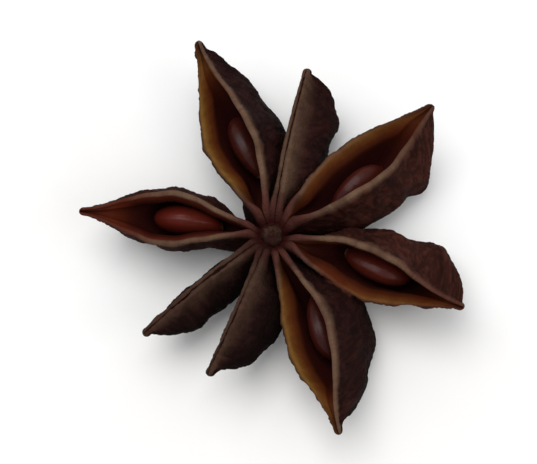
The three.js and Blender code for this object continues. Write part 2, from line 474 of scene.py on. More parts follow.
class MeshTree(Group):
    """A geometry node tree for one kind of piece. It ends in Realize Instances and Set Material."""

    def __init__(self, name: str) -> None:
        """Starts an empty tree."""
        super().__init__(name, "GeometryNodeTree")

    def point_places(self) -> tuple[Field, ...]:
        """Each point's place.

        Returns:
            Its X, Y and Z.
        """
        spot = self.node("GeometryNodeInputPosition", {}).outputs[0]
        parts = self.node("ShaderNodeSeparateXYZ", {}, Vector=spot)
        return tuple(Field(part) for part in parts.outputs)

    def mark(self, name: str, kind: str = "FLOAT") -> Field:
        """The value of a named attribute of the mesh."""
        node = self.node("GeometryNodeInputNamedAttribute", {"data_type": kind}, Name=name)
        return Field(next(s for s in node.outputs if s.name == "Attribute" and s.enabled))

    def store(self, mesh: object, marks: dict[str, Field], kind: str = "FLOAT") -> Field:
        """Stores fields on the mesh's points under their names.

        Args:
            mesh: the geometry.
            marks: the fields by name.
            kind: their type.

        Returns:
            The geometry with the attributes.
        """
        for name, value in marks.items():
            settings = {"data_type": kind, "domain": "POINT"}
            node = self.node(
                "GeometryNodeStoreNamedAttribute", settings, Geometry=mesh, Name=name, Value=value
            )
            mesh = Field(node.outputs[0])
        return mesh

    def placed(
        self, mesh: object, place: bpy.types.NodeTree, spot: tuple[Field, ...], sizes: Sizes
    ) -> Field:
        """Takes a mesh from a carpel's own measures into the fruit's frame, and closes it.

        Args:
            mesh: the geometry.
            place: the group that finds places in a carpel.
            spot: each point's share of the length, and how far left of and below the seam it is.
            sizes: the carpel's sizes by name.

        Returns:
            The geometry, with the points that meet made one.
        """
        along, left, below = spot
        frame_sizes = {name: sizes[name] for name in PLACE_INPUTS}
        found = self.node(
            "GeometryNodeGroup",
            {"node_tree": place},
            Along=along,
            Left=left,
            Below=below,
            **frame_sizes,
        )
        moved = self.node("GeometryNodeSetPosition", {}, Geometry=mesh, Position=found.outputs[0])
        merged = self.node(
            "GeometryNodeMergeByDistance", {}, Geometry=moved.outputs[0], Distance=SAME_POINT
        )
        return Field(merged.outputs[0])

    def finish(self, mesh: object) -> bpy.types.NodeTree:
        """Ends the tree.

        Args:
            mesh: the geometry to put out.

        Returns:
            The finished tree.
        """
        solid = self.node("GeometryNodeRealizeInstances", {}, Geometry=mesh)
        smooth = self.node("GeometryNodeSetShadeSmooth", {}, Geometry=solid.outputs[0])
        material = self.take("Material", "Material")
        done = self.node(
            "GeometryNodeSetMaterial", {}, Geometry=smooth.outputs[0], Material=material
        )
        self.give("Mesh", done.outputs[0], "Geometry")
        return self.tree


def grow(
    tree: bpy.types.NodeTree,
    name: str,
    values: dict[str, object],
    start: Union[bpy.types.Mesh, None] = None,
) -> bpy.types.Object:
    """Runs a geometry node tree and keeps its result as a plain mesh.

    Args:
        tree: the tree.
        name: the new object's name.
        values: what the tree's inputs take, by name.
        start: the mesh that the tree starts from, if it takes one.

    Returns:
        An object at the origin that holds the result, with no modifier.
    """
    piece = added(name, start or bpy.data.meshes.new(name))
    modifier = piece.modifiers.new(name, "NODES")
    modifier.node_group = tree
    for item in tree.interface.items_tree:
        if item.item_type == "SOCKET" and item.in_out == "INPUT" and item.name in values:
            modifier[item.identifier] = values[item.name]
    seen = piece.evaluated_get(bpy.context.evaluated_depsgraph_get())
    result = bpy.data.meshes.new_from_object(seen)
    piece.modifiers.remove(modifier)
    piece.data = result
    result.name = name
    return piece


def place_group() -> bpy.types.NodeTree:
    """The group that takes a place in a carpel into the fruit's frame.

    Returns:
        The group: inputs Along (share of the length), Left and Below (millimetres from the seam)
        and the carpel's sizes, output Place in metres.
    """
    group = Group("place in carpel", "GeometryNodeTree")
    along = group.take("Along")
    left = group.take("Left")
    below = group.take("Below")
    azimuth, reach, bend, lean, droop, beak = (group.take(name) for name in PLACE_INPUTS)
    turned = lean * along.ease(0.0, LEAN_BY)
    arch = SEAM_ARCH * spindle(along, evening(ARCH_AT), ARCH_SLENDER)
    dip = ROOT_DIP * along.ease(DIP_BY, 0.0)
    rise = arch - dip - droop * along + beak * along.ease(BEAK_RISES_FROM, 1.0) * along
    sideways = left * turned.cos() - below * turned.sin() + bend * (along * HALF_TURN).sin()
    up = rise - left * turned.sin() - below * turned.cos() + SEAM_HEIGHT
    out = mix(ROOT_RADIUS, reach, along)
    x = out * azimuth.cos() - sideways * azimuth.sin()
    y = out * azimuth.sin() + sideways * azimuth.cos()
    group.give("Place", group.scaled(group.vector(x, y, up), MM), "Vector")
    return group.tree


@dataclass(frozen=True)
class Section:
    """One section of a carpel: how far to the left, how far below the seam, and its named marks."""

    left: Field
    below: Field
    marks: dict[str, Field]
    skin_place: Field


@dataclass(frozen=True)
class SkinPoint:
    """What a carpel's section is built on at one point of its skin. Lengths in millimetres.

    sizes are the carpel's, and phase shifts its relief from the other carpels'. along is the share
    of its length and side 1 on its left and -1 on its right. share runs from 0 at the keel to 1 at
    the bottom of the inside, rising from 0 at the keel to 1 at the lips and inward from 0 at the
    lips to 1 at the bottom. mouth is half the opening, rim and gap are where a lip's outer and
    inner edge lie, knob is the lip's swelling by the hub, and chamber is the seed chamber's
    fullness.
    """

    sizes: Sizes
    phase: Field
    along: Field
    side: Field
    share: Field
    rising: Field
    inward: Field
    depth: Field
    mouth: Field
    rim: Field
    gap: Field
    knob: Field
    chamber: Field


@dataclass
class CarpelShape:
    """The geometry node tree of a carpel: a closed skin from the keel over the lips and inside.

    A share of 0 to 1 runs up the outside from the keel to lip_from, over the lip to lip_to and down
    the inside, first along the smooth face to face_to of the way and then round the seed chamber.
    The stations crowd towards the outer end, and the beak is rounded from tip_from on. The lips
    ripple by lip_wave, with lip_waves as the ripples' angles over the whole length, and a groove
    groove_at of the way down runs along under them. By the hub they swell to a knuckle up to
    knuckle_to. The mouth takes open_share of the space between the rims, and a shut seam has
    shut_slit left of it. The lips' colour comes in over lip_colour, or shut_colour on a shut seam,
    and leaves over face_colour. The smooth face wraps over the upper lip of a leaning carpel, by
    worn_by_lean past worn_from, down to worn_edge from the lip's foot.
    """

    place: bpy.types.NodeTree
    lip_from: float = 0.56
    lip_to: float = 0.66
    face_to: float = 0.30
    tip_from: float = 0.975
    crowding: float = 0.65
    lip_wave: float = 0.07
    lip_waves: tuple[float, float] = (17.0, 41.0)
    groove_at: float = 0.14
    groove_depth: float = 0.08
    knuckle: float = 0.42
    knuckle_at: float = 0.32
    knuckle_to: float = 0.2
    open_share: float = 0.92
    shut_slit: float = 0.02
    lip_colour: tuple[float, float] = (-0.034, 0.014)
    shut_colour: tuple[float, float] = (-0.12, 0.01)
    face_colour: tuple[float, float] = (0.015, -0.03)
    worn_by_lean: float = 3.4
    worn_from: float = 0.8
    worn_edge: float = 0.022

    def tree(self) -> bpy.types.NodeTree:
        """Builds the tree.

        Returns:
            The tree, with the carpel's sizes as named inputs.
        """
        tree = MeshTree("carpel")
        sizes = {name: tree.take(name) for name in CARPELS[0].values()}
        phase = tree.take("Phase")
        stations = tree.take("Stations", "Int")
        rounds = tree.take("Rounds", "Int")
        grid = tree.node("GeometryNodeMeshGrid", {}, Vertices_X=stations, Vertices_Y=rounds)
        x, y, _ = tree.point_places()
        from_root = x + 0.5
        step = 1.0 / (stations - 1.0)
        even = ((from_root - step) / (1.0 - step * 2.0)).share()
        along = mix(even, (even * QUARTER).sin(), self.crowding)
        section = self.section(tree, self.skin_point(along, y * 2.0, sizes, phase))
        at_root = from_root.under(step * 0.5)
        at_tip = (1.0 - from_root).under(step * 0.5)
        ring = 1.0 - at_root - at_tip
        mesh = tree.store(grid.outputs["Mesh"], section.marks)
        mesh = tree.store(mesh, {"skin_place": section.skin_place}, "FLOAT_VECTOR")
        below = section.below * ring + at_root * (ROOT_DEPTH / 2) + at_tip * LIP_AT_BEAK
        closed = tree.placed(mesh, self.place, (along, section.left * ring, below), sizes)
        outward = tree.node("GeometryNodeFlipFaces", {}, Mesh=closed)
        return tree.finish(outward.outputs[0])

    def section(self, tree: Tree, at: SkinPoint) -> Section:
        """A carpel's closed section.

        Args:
            tree: the tree that it is written in.
            at: what it is built on.

        Returns:
            The section.
        """
        outside = at.share.under(self.lip_from)
        within = 1.0 - at.share.under(self.lip_to)
        on_lip = 1.0 - outside - within
        wall_left, wall_below = self.wall(at)
        lip_left, lip_below = self.lip(at)
        inner_left, inner_below = self.inside(at)
        left = (wall_left * outside + lip_left * on_lip + inner_left * within) * at.side
        below = wall_below * outside + lip_below * on_lip + inner_below * within
        rounded = self.end_rounding(at.along)
        around = at.side * (at.rising * (at.depth * 1.1) + within * inner_below)
        return Section(
            left=left * rounded,
            below=mix(at.depth * 0.5, below, rounded),
            marks=self.marks(at, below, outside),
            skin_place=tree.vector(at.sizes["Reach"] * at.along, around, at.phase * NOISE_APART),
        )

    def skin_point(self, along: Field, signed: Field, sizes: Sizes, phase: Field) -> SkinPoint:
        """What the section is built on.

        Args:
            along: share of the carpel's length.
            signed: 0 at the keel, 1 and -1 at the bottom of the inside, positive on the left half.
            sizes: the tree's inputs by name.
            phase: shifts the relief from carpel to carpel.

        Returns:
            The measures at each point.
        """
        side = signed.sign()
        share = signed.magnitude()
        mouth = sizes["Gape"] * 0.5 * spindle(along, sizes["Mouth Evening"], sizes["Ends"])
        long_wave, short_wave = self.lip_waves
        ripple = (along * long_wave + side * 2.1 + phase * 3.0).sin()
        ripple = ripple + (along * short_wave + side + phase).sin() * 0.5
        wave = ripple * (mouth * 0.6).at_most(1.0) * self.lip_wave
        near_hub = along.at_most(self.knuckle_to) / self.knuckle_to
        knob = spindle(near_hub, evening(self.knuckle_at), 1.0) * self.knuckle
        slit = mix(self.shut_slit, SEAM_HALF, sizes["Split"])
        return SkinPoint(
            sizes=sizes,
            phase=phase,
            along=along,
            side=side,
            share=share,
            rising=(share / self.lip_from).share(),
            inward=((share - self.lip_to) / (1.0 - self.lip_to)).share(),
            depth=self.keel_depth(along, sizes),
            mouth=mouth,
            rim=mouth + mix(LIP_AT_ROOT, LIP_AT_BEAK, along) + wave + knob * 0.15,
            gap=(mouth * self.open_share + slit + wave) * along.ease(0.03, 0.15) + 0.012,
            knob=knob,
            chamber=self.chamber(along, sizes["Seed At"]) * sizes["Split"],
        )

    def wall(self, at: SkinPoint) -> tuple[Field, Field]:
        """The outer wall, from the keel up to the lips.

        Args:
            at: what the section is built on.

        Returns:
            How far out from and below the seam it lies.
        """
        sizes = at.sizes
        down = 1.0 - at.rising
        blunt = sizes["Stern"] ** -BLUNTING
        slender = mix(blunt, sizes["Root"], at.along.under(sizes["Fullest"]))
        fullness = spindle(at.along, sizes["Belly Evening"], slender)
        fullness = fullness * self.ending(at.along, sizes) ** WIDTH_ENDING
        fullness = fullness * self.cornering(at.along, sizes)
        belly = (sizes["Belly"] * 0.5 * fullness + 0.1).at_least(at.rim)
        wide = mix(at.rim, belly, down.ease(0.0, 0.5)) * (down**1.3 * QUARTER).cos()
        deep = (at.depth - LIP_ROUND) * (down * QUARTER).sin() + LIP_ROUND
        fade = (at.depth / 3.0).at_most(1.0) * at.along.ease(0.12, 0.3) * down.ease(0.0, 0.35)
        swell = self.swell(sizes["Reach"] * at.along, at.side * at.rising * 5.0, at.phase) * fade
        from_groove = (down - self.groove_at).magnitude()
        groove = from_groove.ease(self.groove_at * 0.8, 0.0) * self.groove_depth
        return wide + swell * (1.0 - down) - groove, deep + swell * down

    def lip(self, at: SkinPoint) -> tuple[Field, Field]:
        """The lip: round where the seam has split, grown over by the hub and where it is shut.

        Args:
            at: what the section is built on.

        Returns:
            How far out from and below the seam it lies.
        """
        over = ((at.share - self.lip_from) / (self.lip_to - self.lip_from)).share() * HALF_TURN
        left = (at.rim + at.gap) * 0.5 + (at.rim - at.gap) * 0.5 * over.cos()
        grown_over = (at.along.ease(0.13, 0.06) * 0.85).at_least((1.0 - at.sizes["Split"]) * 0.6)
        crest = over.sin().at_least(grown_over * (1.0 - over.under(QUARTER)))
        return left, (1.0 - crest) * LIP_ROUND - at.knob * crest

    def inside(self, at: SkinPoint) -> tuple[Field, Field]:
        """The inside: the smooth face under the lip, and the groove or the seed chamber below it.

        Args:
            at: what the section is built on.

        Returns:
            How far out from and below the seam it lies.
        """
        groove = at.mouth * GROOVE_SHARE + SEAM_DEPTH
        bottom = groove + at.chamber * (at.depth - KEEL_WALL - groove).at_least(0.0)
        throat = (at.gap - FACE_SLOPE).at_least(at.gap * 0.6)
        room = (at.chamber * (SeedShape.thickness / 2 + CHAMBER_ROOM)).at_least(throat)
        face = (bottom * 0.5).at_most(FACE_DEPTH)
        on_face = (at.inward / self.face_to).share()
        sinking = self.sinking(at.inward)
        square = mix(1.0, CHAMBER_SQUARE, at.chamber.at_most(0.5) * 2.0)
        flank = mix(throat, room, sinking.ease(0.0, 0.3)) * (sinking**square * QUARTER).cos()
        left = mix(mix(at.gap, throat, on_face**1.2), flank, sinking.ease(0.0, 0.05))
        return left, mix(LIP_ROUND, face, on_face) + (bottom - face) * (sinking * QUARTER).sin()

    def sinking(self, inward: Field) -> Field:
        """How far a point is round the inside from the smooth face's foot, 0 to 1."""
        return ((inward - self.face_to) / (1.0 - self.face_to)).share()

    def marks(self, at: SkinPoint, below: Field, outside: Field) -> dict[str, Field]:
        """What the husk's finish reads, all between 0 and 1 but for below, in millimetres.

        Args:
            at: what the section is built on.
            below: how far a point lies below the seam.
            outside: 1 on the outer wall.

        Returns:
            The marks by name.
        """
        sizes = at.sizes
        shut = 1.0 - sizes["Split"]
        crest_at = (self.lip_from + self.lip_to) / 2
        leaning = at.side * sizes["Lean"] * self.worn_by_lean - self.worn_from
        worn = leaning.share() * sizes["Split"] * at.along.ease(0.1, 0.3)
        face_from = mix(crest_at, self.lip_from + self.worn_edge, worn)
        open_lip, shut_lip = (
            at.share.ease(*(self.lip_from + edge for edge in edges))
            for edges in (self.lip_colour, self.shut_colour)
        )
        lip = mix(open_lip, shut_lip, shut)
        lip = lip * at.share.ease(*(self.lip_to + edge for edge in self.face_colour))
        inner = (at.share - face_from).ease(0.0, self.lip_to + 0.01 - crest_at)
        return {
            "grown": at.along * 0.0 + 1.0,
            "inner": inner * sizes["Split"],
            # On a shut seam the pale lip follows warm, which is partly painted light.
            "lip": lip * (1.0 - worn * 0.9) * mix(1.0, sizes["Warm"] * 2.2 + 0.38, shut),
            "below": below,
            "down": (1.0 - at.rising) * outside,
            # cavity marks the seed chamber, where the finish paints shade.
            "cavity": at.chamber.ease(0.15, 0.75) * self.sinking(at.inward).ease(0.0, 0.3),
            "along": at.along,
            "hub": at.along.ease(0.045, 0.02),
            "button": at.along * 0.0,
            "red": sizes["Red"],
            "warm": sizes["Warm"],
        }

    def keel_depth(self, along: Field, sizes: Sizes) -> Field:
        """Distance from the lips to the keel: a blunt body, with the thin beak running on past it.

        Args:
            along: share of the carpel's length.
            sizes: the tree's inputs by name.

        Returns:
            The depth in millimetres.
        """
        depth = sizes["Depth"]
        towards_root = (1.0 - along / sizes["Fullest"]).at_least(0.0)
        shallow = (towards_root**2.0) * (1.0 - ROOT_DEPTH / depth)
        body = depth * (1.0 - shallow) * self.ending(along, sizes) ** DEPTH_ENDING
        body = body * self.cornering(along, sizes)
        beak = mix(BEAK_DEPTH, 2 * LIP_AT_BEAK, along.ease(BEAK_THINS_FROM, 1.0))
        return (body**3.0 + beak**3.0) ** (1 / 3)

    def cornering(self, along: Field, sizes: Sizes) -> Field:
        """How much the body swells at its outer corner."""
        return 1.0 + sizes["Corner"] * spindle(along, evening(CORNER_AT), CORNER_SHARPNESS)

    def ending(self, along: Field, sizes: Sizes) -> Field:
        """The body's fullness: 1 up to where it is widest, and 0 from where the beak runs on."""
        past = ((along - sizes["Fullest"]) / (sizes["Beak From"] - sizes["Fullest"])).share()
        return (1.0 - past ** sizes["Stern"]).at_least(0.0)

    def swell(self, run: Field, around: Field, phase: Field) -> Field:
        """The coarse ridges and hollows of the dried body.

        Args:
            run: millimetres along the carpel.
            around: place round it.
            phase: shifts them from carpel to carpel.

        Returns:
            Their height in millimetres.
        """
        wander = (run * 0.55 + phase).sin() * 1.4
        ridges = (run * 1.5 + (around * 0.9 + phase).sin() * 1.9 + phase * 2.3).sin()
        folds = (around * 1.25 + wander + phase * 1.7).sin()
        return (ridges * 0.6 + folds * 0.55) * RELIEF

    def chamber(self, along: Field, seed_at: Field) -> Field:
        """The seed chamber's fullness along the carpel, 1 where the seed sits."""
        reached = (along - seed_at) / CHAMBER_HALF
        return (1.0 - reached * reached).at_least(0.0) ** CHAMBER_ENDS

    def end_rounding(self, along: Field) -> Field:
        """Draws the section in at the beak's tip, so that it ends round."""
        past = ((along - self.tip_from) / (1.0 - self.tip_from)).share()
        return (1.0 - past * past * 0.92).at_least(0.0) ** 0.5


@dataclass
class SeedShape:
    """The geometry node tree of a seed: a flattened egg on its edge, with a keel line and a scar.

    Sizes are in millimetres. sunk is how far its upper edge lies below the lips, and taper by what
    share it is wider at its outer end. The keel line stands ridge high along its upper edge, from
    the cosine ridge_from of the way round, dent is how uneven its sides are, and the scar starts
    scar_from of the half length towards the column.
    """

    place: bpy.types.NodeTree
    length: float = 6.4
    height: float = 4.2
    thickness: float = 2.6
    sunk: float = 1.2
    taper: float = 0.12
    ridge: float = 0.05
    ridge_from: float = 0.985
    dent: float = 0.05
    scar_from: float = 0.9
    scar_to: float = 0.99

    def tree(self) -> bpy.types.NodeTree:
        """Builds the tree.

        Returns:
            The tree, with the carpel's sizes as named inputs.
        """
        tree = MeshTree("seed")
        sizes = {name: tree.take(name) for name in PLACE_INPUTS}
        seed_at = tree.take("Seed At")
        phase = tree.take("Phase")
        grid = tree.node(
            "GeometryNodeMeshGrid",
            {},
            Vertices_X=tree.take("Stations", "Int"),
            Vertices_Y=tree.take("Rounds", "Int"),
        )
        grid_x, grid_y, _ = tree.point_places()
        x = ((grid_x + 0.5) * HALF_TURN).cos() * -1.0
        angle = (grid_y + 0.5) * (2 * HALF_TURN)
        girth = (1.0 - x * x).at_least(0.0) ** 0.5 * (x * self.taper + 1.0)
        keel = angle.cos().ease(self.ridge_from, 1.0) * self.ridge * (1.0 - x * x).at_least(0.0)
        uneven = ((x * 2.3 + phase).sin() * (angle * 2.0 + phase * 1.3).sin()) * self.dent
        half_wide = girth * (self.thickness / 2 + uneven)
        half_high = girth * (self.height / 2 + uneven * 0.5) + keel
        centre = self.sunk + self.height / 2
        along = x * (self.length / 2) / sizes["Reach"] + seed_at
        left = half_wide * angle.sin()
        above = half_high * angle.cos()
        marks = {"scar": x.ease(-self.scar_from, -self.scar_to), "tone": tree.take("Red")}
        mesh = tree.store(grid.outputs["Mesh"], marks)
        seed_place = tree.vector(x * (self.length / 2), left, above + phase * NOISE_APART)
        mesh = tree.store(mesh, {"skin_place": seed_place}, "FLOAT_VECTOR")
        return tree.finish(tree.placed(mesh, self.place, (along, left, centre - above), sizes))


@dataclass
class Column:
    """The column between the carpels: broken stalk below, dimpled button on top.

    Sizes are in millimetres. Its girth is uneven by waves, each a number round the column and a
    share of the radius. The button is puckered by pucker of its radius, and its colour is full
    from button_drop below the seams' height.
    """

    stalk_radius: float = 1.25
    stalk_foot: float = 0.05
    shoulder: float = 1.8
    widest: float = 2.8
    button_radius: float = 0.9
    button_drop: float = 0.6
    waves: tuple[tuple[int, float], ...] = ((3, 0.05), (7, 0.03))
    pucker: float = 0.05
    sides: int = 96

    def outline(self) -> list[tuple[float, float]]:
        """The column's half section, from the middle of the foot to that of the button.

        Returns:
            Its points as radius and height.
        """
        top = SEAM_HEIGHT
        stalk = [
            (0.0, 0.34), (0.35, 0.28), (0.6, 0.1), (0.78, self.stalk_foot), (1.08, 0.0),
            (self.stalk_radius, 0.12), (self.stalk_radius + 0.05, 0.5),
        ]
        body = [
            (self.shoulder, 1.1), (self.widest, 1.9), (self.widest, top - 2.8),
            (self.shoulder, top - 2.2), (1.3, top - 1.6), (1.12, top - 1.35), (1.0, top - 1.05),
        ]
        button = [
            (self.button_radius, top - 0.78), (0.8, top - 0.63), (0.62, top - 0.55),
            (0.44, top - 0.57), (0.28, top - 0.66), (0.13, top - 0.8), (0.0, top - 0.84),
        ]
        return stalk + body + button

    def build(self) -> bpy.types.Object:
        """Turns the outline into a closed mesh with the husk's marks on its points.

        Returns:
            The column as an object.
        """
        outline = self.outline()
        ends = (outline[0], outline[-1])
        mesh = bmesh.new()
        rings = []
        for radius, height in outline[1:-1]:
            ring = []
            for i in range(self.sides):
                a = 2 * math.pi * i / self.sides
                waves = (
                    high * math.sin(count * a + turn * height)
                    for turn, (count, high) in enumerate(self.waves, start=1)
                )
                r = radius * (1 + sum(waves)) * MM
                fold = math.sin(5 * a + 4 * radius) + 0.6 * math.sin(9 * a - 3 * radius)
                z = height + self.pucker * fold * (height > SEAM_HEIGHT - ROOT_DIP) * radius
                ring.append(mesh.verts.new((r * math.cos(a), r * math.sin(a), z * MM)))
            rings.append(ring)
        for low, high in zip(rings, rings[1:]):
            for i in range(self.sides):
                j = (i + 1) % self.sides
                mesh.faces.new((low[i], low[j], high[j], high[i]))
        for (_, height), ring in zip(ends, (rings[0], rings[-1])):
            middle = mesh.verts.new((0, 0, height * MM))
            for i in range(self.sides):
                mesh.faces.new((ring[i], ring[(i + 1) % self.sides], middle))
        bmesh.ops.recalc_face_normals(mesh, faces=mesh.faces)
        bmesh.ops.triangulate(mesh, faces=mesh.faces)
        data = bpy.data.meshes.new("column")
        mesh.to_mesh(data)
        mesh.free()
        self.mark(data)
        return added("column", data)

    def mark(self, data: bpy.types.Mesh) -> None:
        """Gives the column's points the marks that the husk's finish reads.

        Args:
            data: the column's mesh.
        """
        for name in HUSK_MARKS:
            data.attributes.new(name, "FLOAT", "POINT")
        data.attributes.new("skin_place", "FLOAT_VECTOR", "POINT")
        for point in data.vertices:
            place = point.co / MM
            data.attributes["grown"].data[point.index].value = 1.0
            data.attributes["below"].data[point.index].value = SEAM_HEIGHT - place.z
            data.attributes["down"].data[point.index].value = 0.3
            data.attributes["hub"].data[point.index].value = 1.0
            raised = (place.z - SEAM_HEIGHT + ROOT_DIP) / (ROOT_DIP - self.button_drop)
            data.attributes["button"].data[point.index].value = min(1.0, max(0.0, raised))
            data.attributes["skin_place"].data[point.index].vector = place


@dataclass
class Husk:
    """The eight carpels and the column, grown together, with the wrinkles of the dried skin.

    coarse and fine are the heights of the skin's swellings and creases, and faint of the waves in
    the smooth faces, in millimetres. A point where two parts meet takes its marks from seam_points
    older ones, the nearest most, with seam_blur millimetres added to each distance.
    """

    place: bpy.types.NodeTree
    stations: int = 96
    rounds: int = 133
    shut_stations: int = 84
    shut_rounds: int = 101
    seam_points: int = 10
    seam_blur: float = 0.02
    coarse: float = 0.26
    fine: float = 0.1
    faint: float = 0.06

    def build(self, finish: bpy.types.Material) -> bpy.types.Object:
        """Grows the carpels, joins them to the column and wrinkles the skin.

        Args:
            finish: the husk's material.

        Returns:
            The husk as one object.
        """
        shape = CarpelShape(self.place).tree()
        parts = []
        for carpel in CARPELS:
            counts = (self.stations, self.rounds)
            if carpel.seam is Seam.SHUT:
                counts = (self.shut_stations, self.shut_rounds)
            parts.append(grow(shape, carpel.name, carpel.inputs(*counts, finish)))
        body = self.fused(Column().build(), parts)
        self.fill_marks(body)
        wrinkled = grow(self.skin_tree(), "husk", {"Material": finish}, body)
        for part in parts:
            bpy.data.objects.remove(part)
        return wrinkled

    def fused(self, column: bpy.types.Object, parts: list[bpy.types.Object]) -> bpy.types.Mesh:
        """Joins the parts into one closed body and leaves out what is shut in between them.

        Args:
            column: the part that the others are joined to.
            parts: the other parts.

        Returns:
            The body's mesh.
        """
        others = bpy.data.collections.new("carpels")
        bpy.context.scene.collection.children.link(others)
        for part in parts:
            others.objects.link(part)
        joint = column.modifiers.new("grown together", "BOOLEAN")
        joint.operation = "UNION"
        joint.operand_type = "COLLECTION"
        joint.collection = others
        joint.solver = "MANIFOLD"
        seen = column.evaluated_get(bpy.context.evaluated_depsgraph_get())
        body = bpy.data.meshes.new_from_object(seen)
        bpy.data.objects.remove(column)
        bpy.data.collections.remove(others)
        self.keep_outer_shell(body)
        return body

    def keep_outer_shell(self, body: bpy.types.Mesh) -> None:
        """Deletes all but the largest connected shell of a mesh.

        Args:
            body: the mesh.
        """
        mesh = bmesh.new()
        mesh.from_mesh(body)
        shells = []
        left = set(mesh.verts)
        while left:
            reached = [left.pop()]
            shell = list(reached)
            while reached:
                for edge in reached.pop().link_edges:
                    for point in edge.verts:
                        if point in left:
                            left.remove(point)
                            reached.append(point)
                            shell.append(point)
            shells.append(shell)
        shells.sort(key=len)
        for shell in shells[:-1]:
            bmesh.ops.delete(mesh, geom=shell, context="VERTS")
        mesh.to_mesh(body)
        mesh.free()

    def fill_marks(self, body: bpy.types.Mesh) -> None:
        """Gives the points made where two parts meet the mean marks of the older ones near them.

        Args:
            body: the joined mesh.
        """
        grown = body.attributes["grown"].data
        older = [point.index for point in body.vertices if grown[point.index].value > 0.5]
        newer = [point.index for point in body.vertices if grown[point.index].value <= 0.5]
        tree = KDTree(len(older))
        for index in older:
            tree.insert(body.vertices[index].co, index)
        tree.balance()
        marks = [body.attributes[name].data for name in HUSK_MARKS]
        places = body.attributes["skin_place"].data
        for index in newer:
            near = tree.find_n(body.vertices[index].co, self.seam_points)
            weights = [1.0 / (distance + self.seam_blur * MM) for _, _, distance in near]
            for mark in marks:
                total = sum(w * mark[i].value for w, (_, i, _) in zip(weights, near))
                mark[index].value = total / sum(weights)
            places[index].vector = places[near[0][1]].vector

    def skin_tree(self) -> bpy.types.NodeTree:
        """The tree that wrinkles the outer skin and flattens what would sink into the ground.

        Returns:
            The tree, whose input is the fused body.
        """
        tree = MeshTree("dried skin")
        mesh = tree.take("Mesh", "Geometry")
        coarse = tree.take("Coarse", value=self.coarse)
        fine = tree.take("Fine", value=self.fine)
        place = tree.mark("skin_place", "FLOAT_VECTOR")
        outer = (1.0 - tree.mark("inner")) * (1.0 - tree.mark("lip"))
        swellings = tree.noise(place, 0.42, 2.0, 0.6) - 0.5
        creases = (tree.noise(place, 0.95, 3.0, 0.9) - 0.5).magnitude().ease(0.0, 0.13)
        spread = tree.mark("along").ease(0.05, 0.2) * tree.mark("along").ease(1.0, 0.93)
        bump = (swellings * 2.0 * coarse + (creases - 0.8) * fine) * outer * spread
        inside = (tree.noise(place, 0.7, 1.0) - 0.5) * self.faint * tree.mark("inner") * spread
        normal = tree.node("GeometryNodeInputNormal", {}).outputs[0]
        moved = tree.node(
            "GeometryNodeSetPosition",
            {},
            Geometry=mesh,
            Offset=tree.scaled(normal, (bump + inside) * MM),
        )
        x, y, z = tree.point_places()
        level = tree.vector(x, y, z.at_least(0.0))
        rested = tree.node("GeometryNodeSetPosition", {}, Geometry=moved.outputs[0], Position=level)
        # hollow marks the skin's creases, where the husk's finish paints shade.
        marks = {"hollow": (1.0 - creases) * outer, "swollen": swellings * 2.0 * outer}
        return tree.finish(tree.store(rested.outputs[0], marks))


class Surface(Tree):
    """A material that is being written, round its one Principled BSDF."""

    def __init__(self, name: str) -> None:
        """Starts a material with nothing but its shader and output."""
        self.material = bpy.data.materials.new(name)
        self.material.use_nodes = True
        super().__init__(self.material.node_tree)
        self.tree.nodes.clear()
        self.shader = self.tree.nodes.new("ShaderNodeBsdfPrincipled")
        output = self.tree.nodes.new("ShaderNodeOutputMaterial")
        feed(output.inputs["Surface"], self.shader.outputs[0])

    def set(self, name: str, value: object) -> None:
        """Feeds one input of the shader."""
        feed(self.shader.inputs[name], value)

    def mark(self, name: str) -> Field:
        """The value of a named attribute of the piece."""
        return Field(self.node("ShaderNodeAttribute", {"attribute_name": name}).outputs["Fac"])

    def skin_place(self) -> Field:
        """Where a point lies along and round the skin, in millimetres."""
        node = self.node("ShaderNodeAttribute", {"attribute_name": "skin_place"})
        return Field(node.outputs["Vector"])

    def object_place(self) -> Field:
        """Where a point lies in the piece, in millimetres."""
        node = self.node("ShaderNodeTexCoord", {})
        return self.scaled(node.outputs["Object"], 1 / MM)

    def effect(self, group: bpy.types.NodeTree, output: str, **inputs: object) -> Field:
        """Places a shared effect.

        Args:
            group: the effect's node group.
            output: the name of the output to use.
            **inputs: what its inputs take, by name, with _ for a space.

        Returns:
            The output.
        """
        node = self.node("ShaderNodeGroup", {"node_tree": group}, **inputs)
        return Field(node.outputs[output])

    def blend(self, share: Field, first: object, second: object) -> Field:
        """Mixes two colours.

        Args:
            share: how much of the second there is.
            first: one colour.
            second: the other.

        Returns:
            The colour between them.
        """
        node = self.node("ShaderNodeMix", {"data_type": "RGBA"}, Factor=share, A=first, B=second)
        return Field(next(socket for socket in node.outputs if socket.enabled))

    def layered(self, base: object, *layers: tuple[Field, object]) -> Field:
        """Lays colours over a base.

        Args:
            base: the colour under them all.
            *layers: each layer's share and colour, from the lowest up.

        Returns:
            The colour that shows.
        """
        for share, colour in layers:
            base = self.blend(share, base, colour)
        return base

    def bump(self, height: Field, depth: float) -> None:
        """Gives the shader a bumpy normal.

        Args:
            height: the relief, 0 to 1.
            depth: how many millimetres 1 stands for.
        """
        node = self.node("ShaderNodeBump", {}, Height=height, Distance=depth * MM, Strength=1.0)
        self.set("Normal", node.outputs["Normal"])


